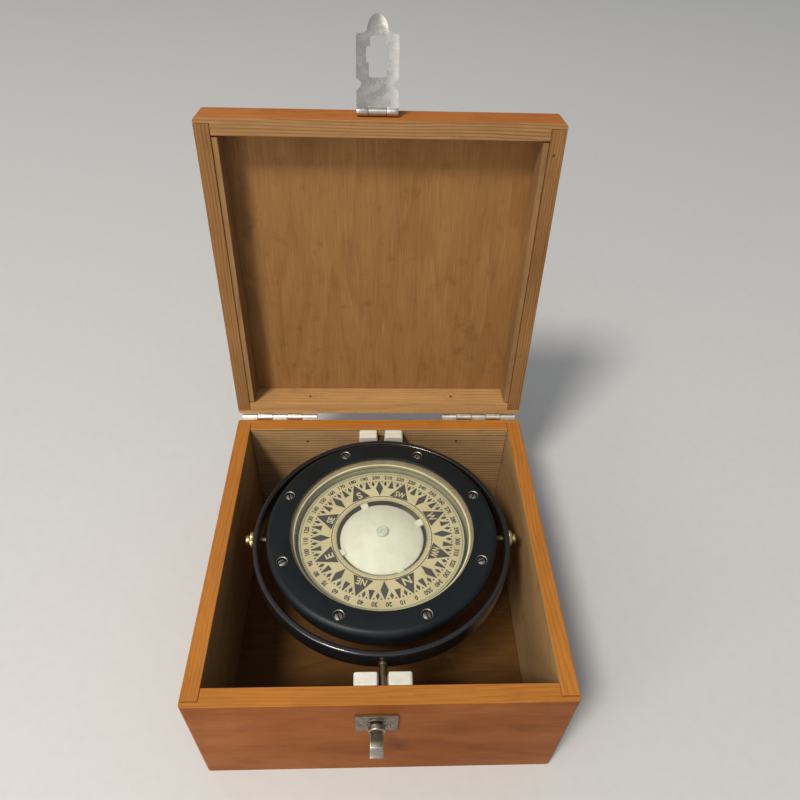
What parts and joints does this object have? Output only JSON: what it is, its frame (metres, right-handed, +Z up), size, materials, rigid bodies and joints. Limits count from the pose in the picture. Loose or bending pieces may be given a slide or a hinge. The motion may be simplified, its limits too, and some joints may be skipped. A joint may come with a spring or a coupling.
{
  "type": "gimballed boat compass in a hinged wooden box",
  "caption": "Liquid-filled marine compass on a gimbal ring inside an open hinged wooden carrying box with a hasp.",
  "frame": {"origin": "centre of the box's footprint, on the surface that it stands on", "axes": "+X to the right seen from the front, +Y to the back where the lid is hinged, +Z up"},
  "size_m": [0.2, 0.2564, 0.3363],
  "materials": {
    "varnished_wood": "orange-brown varnished softwood, raw and tan inside",
    "plywood": "bare aged plywood",
    "nylon": "white nylon, slightly soiled",
    "zinc_plate": "bright zinc-plated pressed steel, worn",
    "gloss_black": "gloss black enamel",
    "matt_black": "dull black paint, worn at the edge",
    "brass": "aged brass",
    "plated_screw": "plated slotted screws",
    "glass": "clear flat glass",
    "rubber": "black rubber",
    "gasket": "tan cork and rubber gasket",
    "cream_paint": "cream paint",
    "card_face": "cream dial printed in black",
    "float_white": "pale greenish white float",
    "lead": "dull grey metal"
  },
  "bodies": {
    "case": {"case_front_board": "varnished_wood", "case_back_board": "varnished_wood", "case_left_board": "varnished_wood", "case_right_board": "varnished_wood", "case_floor": "plywood", "pivot_block_front": "nylon", "pivot_block_back": "nylon", "hinge_case_leaf_left": "zinc_plate", "hinge_case_leaf_right": "zinc_plate", "hinge_pin_left": "zinc_plate", "hinge_pin_right": "zinc_plate", "staple_plate": "zinc_plate"},
    "lid": {"lid_front_board": "varnished_wood", "lid_back_board": "varnished_wood", "lid_left_board": "varnished_wood", "lid_right_board": "varnished_wood", "lid_panel": "plywood", "lid_batten_left": "plywood", "lid_batten_right": "plywood", "hinge_lid_leaf_left": "zinc_plate", "hinge_lid_leaf_right": "zinc_plate", "hasp_leaf": "zinc_plate", "hasp_pin": "zinc_plate"},
    "hasp_strap": {"hasp_strap": "zinc_plate"},
    "turn_button": {"turn_button": "zinc_plate"},
    "gimbal_ring": {"gimbal_ring": "gloss_black", "gimbal_pin_front": "brass", "gimbal_pin_back": "brass", "pivot_screw_left": "brass", "pivot_screw_right": "brass", "pivot_nut_left": "brass", "pivot_nut_right": "brass"},
    "bowl": {"bowl": "matt_black", "bezel_ring": "matt_black", "bezel_screw_1": "plated_screw", "bezel_screw_2": "plated_screw", "bezel_screw_3": "plated_screw", "bezel_screw_4": "plated_screw", "bezel_screw_5": "plated_screw", "bezel_screw_6": "plated_screw", "bezel_screw_7": "plated_screw", "bezel_screw_8": "plated_screw", "glass": "glass", "glass_gasket": "gasket", "glass_seat_ring": "cream_paint", "lubber_mark": "rubber", "pivot_post": "brass", "filler_plug": "brass", "diaphragm": "brass", "bottom_cover": "matt_black", "ballast_weight": "lead"},
    "card": {"compass_card": "card_face", "float_dome": "float_white", "float_base": "float_white", "jewel_cap": "brass", "magnet_left": "lead", "magnet_right": "lead"}
  },
  "joints": [
    {"name": "lid_hinge", "type": "hinge", "parent": "case", "child": "lid", "pos_m": [0, 0.1028, 0.088], "axis": [1, 0, 0], "range_deg": [-85, 95]},
    {"name": "hasp_hinge", "type": "hinge", "parent": "lid", "child": "hasp_strap", "pos_m": [-0.0025, 0.12796, 0.29188], "axis": [1, 0, 0], "range_deg": [-65.5, 99.5]},
    {"name": "turn_button_pivot", "type": "hinge", "parent": "case", "child": "turn_button", "pos_m": [-0.0025, -0.1025, 0.06815], "axis": [0, 1, 0], "continuous": true},
    {"name": "gimbal_roll", "type": "hinge", "parent": "case", "child": "gimbal_ring", "pos_m": [0.0008, 0.0026, 0.0812], "axis": [0, 1, 0], "range_deg": [-7, 7]},
    {"name": "gimbal_pitch", "type": "hinge", "parent": "gimbal_ring", "child": "bowl", "pos_m": [0.0008, 0.0026, 0.0812], "axis": [1, 0, 0], "range_deg": [-7, 7]},
    {"name": "card_pivot", "type": "hinge", "parent": "bowl", "child": "card", "pos_m": [0.0008, 0.0026, 0.0812], "axis": [0, 0, 1], "continuous": true}
  ]
}
